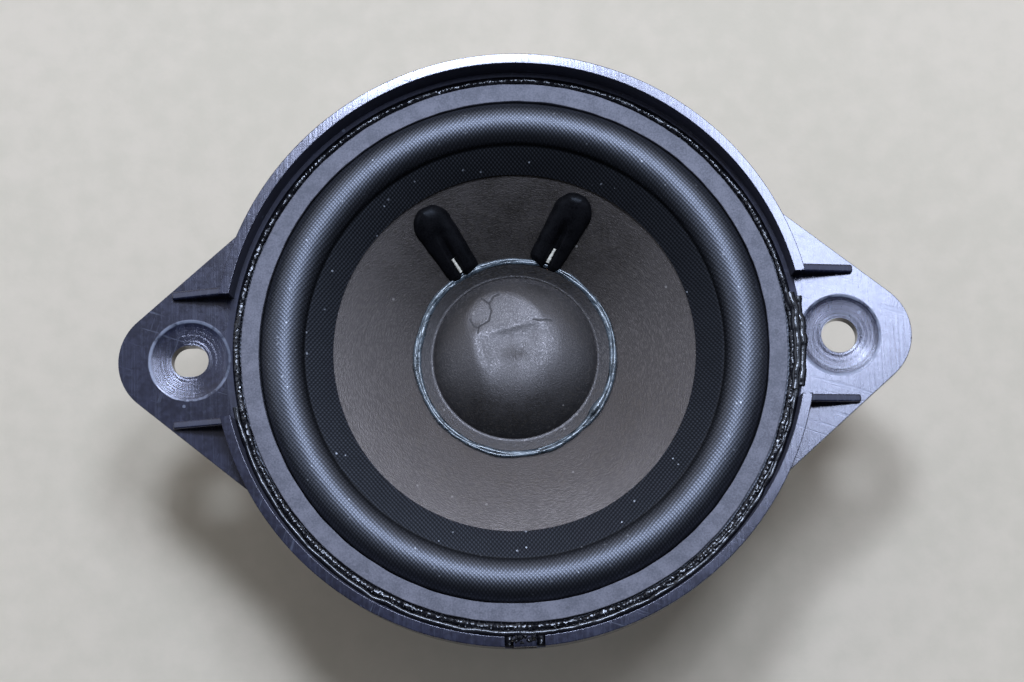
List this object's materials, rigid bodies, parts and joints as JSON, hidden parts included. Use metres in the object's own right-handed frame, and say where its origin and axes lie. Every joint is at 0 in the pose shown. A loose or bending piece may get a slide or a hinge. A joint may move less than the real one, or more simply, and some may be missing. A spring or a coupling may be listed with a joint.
{
  "type": "car dashboard loudspeaker",
  "caption": "Small round cone loudspeaker with a two-eared moulded basket, rubberised-cloth surround, ferrite motor and a plug-in terminal block, for a car dashboard.",
  "frame": {"origin": "centre of the yoke's rear face, on the speaker's axis", "axes": "+Z along the speaker's axis, towards the listener; +X through the ear with the round hole; +Y towards the terminal block"},
  "size_m": [0.1172, 0.088, 0.041],
  "materials": {
    "basket_plastic": "blue-black moulded resin, satin, with fine flow lines and light scuffs",
    "block_plastic": "black moulded resin, satin",
    "zinc_steel": "zinc plated, satin",
    "ferrite": "dark grey sintered ferrite, matt",
    "former_film": "amber film, semi-gloss",
    "copper_wire": "enamelled copper wire",
    "black_adhesive": "black rubbery adhesive, glossy and lumpy",
    "clear_adhesive": "smoky adhesive bead, glossy",
    "cone_paper": "pressed dark brown-grey paper pulp with fibres, matt",
    "cap_paper": "pressed dark grey paper, matt, dented and creased",
    "surround_cloth": "rubber-coated woven cloth, soft sheen",
    "gasket_card": "grey pressed card, matt",
    "spider_cloth": "resin-stiffened amber cotton weave, matt",
    "tinned_brass": "satin brass",
    "tinsel_braid": "copper tinsel braid, matt",
    "solder": "bright solder"
  },
  "bodies": {
    "frame": {"basket": "basket_plastic", "t_yoke": "zinc_steel", "magnet": "ferrite", "top_plate": "zinc_steel", "plate_rivet_1": "zinc_steel", "plate_rivet_2": "zinc_steel", "plate_rivet_3": "zinc_steel", "plate_rivet_4": "zinc_steel", "surround": "surround_cloth", "gasket_ring": "gasket_card", "edge_adhesive": "black_adhesive", "spider": "spider_cloth", "terminal_block": "block_plastic", "terminal_blade_left": "tinned_brass", "terminal_blade_right": "tinned_brass", "tinsel_lead_left": "tinsel_braid", "tinsel_lead_right": "tinsel_braid", "solder_joint_left": "solder", "solder_joint_right": "solder"},
    "moving_assembly": {"cone": "cone_paper", "dust_cap": "cap_paper", "dust_cap_adhesive": "clear_adhesive", "voice_coil_former": "former_film", "voice_coil_winding": "copper_wire", "neck_adhesive": "black_adhesive", "lead_out_wire_left": "copper_wire", "lead_out_wire_right": "copper_wire", "lead_adhesive_left": "black_adhesive", "lead_adhesive_right": "black_adhesive", "cone_eyelet_left": "tinned_brass", "cone_eyelet_right": "tinned_brass"}
  },
  "joints": [
    {"name": "cone_travel", "type": "slide", "parent": "frame", "child": "moving_assembly", "axis": [0, 0, 1], "range_m": [-0.0025, 0.0025], "stiffness_N_per_m": 1200, "deforming": ["surround", "spider", "tinsel_lead_left", "tinsel_lead_right"]}
  ]
}
